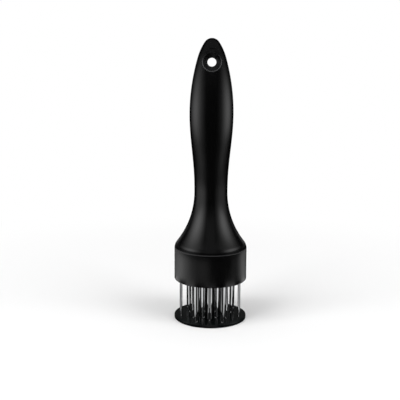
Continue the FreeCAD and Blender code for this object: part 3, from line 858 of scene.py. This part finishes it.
NECK_RIGHT_ROUND = [(20, 0), (32, 0.5), (60, 1), (90, 0.8), (110, 0)]
NECK_RISE = [(76, 0), (83, 1), (89, 1), (93, 0.5), (99, 0.12), (106, 0)]

card("collar_card", inner_r=118, outer_r=330, stops=COLLAR_GLOW, strength=1.33)
# neighbouring facets of a blade see a light strip and a dark one
card("blade_card", inner_r=32, outer_r=118, stops=strips(bright=0.9, dark=0.02, dimmed=0.35))
card("foot_card", inner_r=0.5, outer_r=26.5, stops=[(-179, 0.4), (179, 0.4)])
card("disc_card", inner_r=26.5, outer_r=32, stops=DISC_GLOW)
WALL_AT = 200
NECK_WALL_AT = 45
soft_wall("wall_left", WALL_AT, LEFT_ROUND, LEFT_RISE, strength=1.9)
soft_wall("wall_right", WALL_AT, RIGHT_ROUND, RIGHT_RISE, strength=1.95)
soft_wall("neck_left", NECK_WALL_AT, NECK_LEFT_ROUND, NECK_RISE, strength=0.62, clear=True)
soft_wall("neck_right", NECK_WALL_AT, NECK_RIGHT_ROUND, NECK_RISE, strength=0.32, clear=True)

# ------------------------------------------------------------------ world
# a stop is (azimuth, brightness) in ROUND and (elevation, brightness) in RISE, in degrees
BACK_ROUND = [
    (-180, 1), (-165, 0.8), (-150, 0.1), (-112, 0), (112, 0), (150, 0.1), (165, 0.8), (180, 1)]
BACK_RISE = [(-1, 0), (2, 1), (7, 1), (11, 0.05), (40, 0.04), (90, 0.03)]
CEILING_ROUND = [(-110, 0), (-80, 1), (80, 1), (110, 0)]
CEILING_RISE = [(6, 0.01), (30, 0.17), (80, 0.15), (90, 0.08)]


def make_world():
    """Plain white for the camera, a soft room for reflections and an even grey fill."""
    world = bpy.data.worlds.new("studio")
    bpy.context.scene.world = world
    world.use_nodes = True
    tree = world.node_tree
    tree.nodes.clear()
    ray = node(tree, "ShaderNodeTexCoord").outputs["Generated"]
    share, rise = azimuth_and_height(tree, ray)
    height = chain(tree, "ShaderNodeMath", rise, operation="ARCSINE")
    lift = chain(
        tree, "ShaderNodeMath", height.outputs["Value"], 1 / math.pi, 0.5,
        operation="MULTIPLY_ADD")

    def patch(round_stops, rise_stops):
        upward = ramp(
            tree, lift.outputs["Value"],
            [(0.5 + degrees / 180, value) for degrees, value in rise_stops])
        return multiply(tree, around(tree, share, round_stops), upward)

    room = node(tree, "ShaderNodeMix", data_type="RGBA", blend_type="ADD")
    room.inputs["Factor"].default_value = 1
    tree.links.new(patch(BACK_ROUND, BACK_RISE), room.inputs["A"])
    tree.links.new(patch(CEILING_ROUND, CEILING_RISE), room.inputs["B"])
    mirror = chain(tree, "ShaderNodeBackground", room.outputs["Result"])
    fill = chain(tree, "ShaderNodeBackground", (0.5, 0.5, 0.5, 1))
    plain = chain(tree, "ShaderNodeBackground", (1, 1, 1, 1))
    path = node(tree, "ShaderNodeLightPath").outputs
    lit = chain(
        tree, "ShaderNodeMixShader", most(tree, path["Is Glossy Ray"], path["Is Transmission Ray"]),
        fill.outputs["Background"], mirror.outputs["Background"])
    seen = chain(
        tree, "ShaderNodeMixShader", path["Is Camera Ray"], lit.outputs["Shader"],
        plain.outputs["Background"])
    chain(tree, "ShaderNodeOutputWorld", seen.outputs["Shader"])


make_world()


# ------------------------------------------------------------------ lamps
LAMP_AIM = Vector((0, 0, 0.08))


def lamp(name, place, size, power):
    """A square soft lamp that points at the object and isn't seen in reflections."""
    data = bpy.data.lights.new(name, "AREA")
    data.shape = "RECTANGLE"
    data.size = data.size_y = size
    data.energy = power
    obj = bpy.data.objects.new(name, data)
    bpy.context.scene.collection.objects.link(obj)
    obj.location = place
    obj.rotation_mode = "QUATERNION"
    obj.rotation_quaternion = (LAMP_AIM - Vector(place)).to_track_quat("-Z", "Y")
    obj.visible_glossy = False


lamp("soft_left", (-0.9, -0.7, 1.3), size=1.0, power=16)
lamp("soft_right", (1.0, -0.6, 1.1), size=0.9, power=11)

# ------------------------------------------------------------------ camera
# the frame's width, the focal length, the shift and how far aside the camera aims, in pixels
FRAME = 400
FOCAL = 698.6
SHIFT = -15.3
ASIDE = 11.1
PITCH = math.radians(8.56)
YAW = math.atan(ASIDE / FOCAL)
ROLL = math.radians(0.3)
CAMERA_AT = (0, -0.4925, 0.1715)
SENSOR = 36
camera_data = bpy.data.cameras.new("camera")
camera_data.sensor_width = SENSOR
camera_data.lens = FOCAL / FRAME * SENSOR
camera_data.shift_y = SHIFT / FRAME
camera_data.clip_start = 0.01
camera = bpy.data.objects.new("camera", camera_data)
bpy.context.scene.collection.objects.link(camera)
bpy.context.scene.camera = camera
camera.location = CAMERA_AT
aim = Vector((
    -math.sin(YAW) * math.cos(PITCH), math.cos(YAW) * math.cos(PITCH), -math.sin(PITCH)))
camera.rotation_mode = "QUATERNION"
camera.rotation_quaternion = aim.to_track_quat("-Z", "Y") @ Quaternion((0, 0, 1), ROLL)

bpy.context.scene.view_settings.view_transform = "Standard"
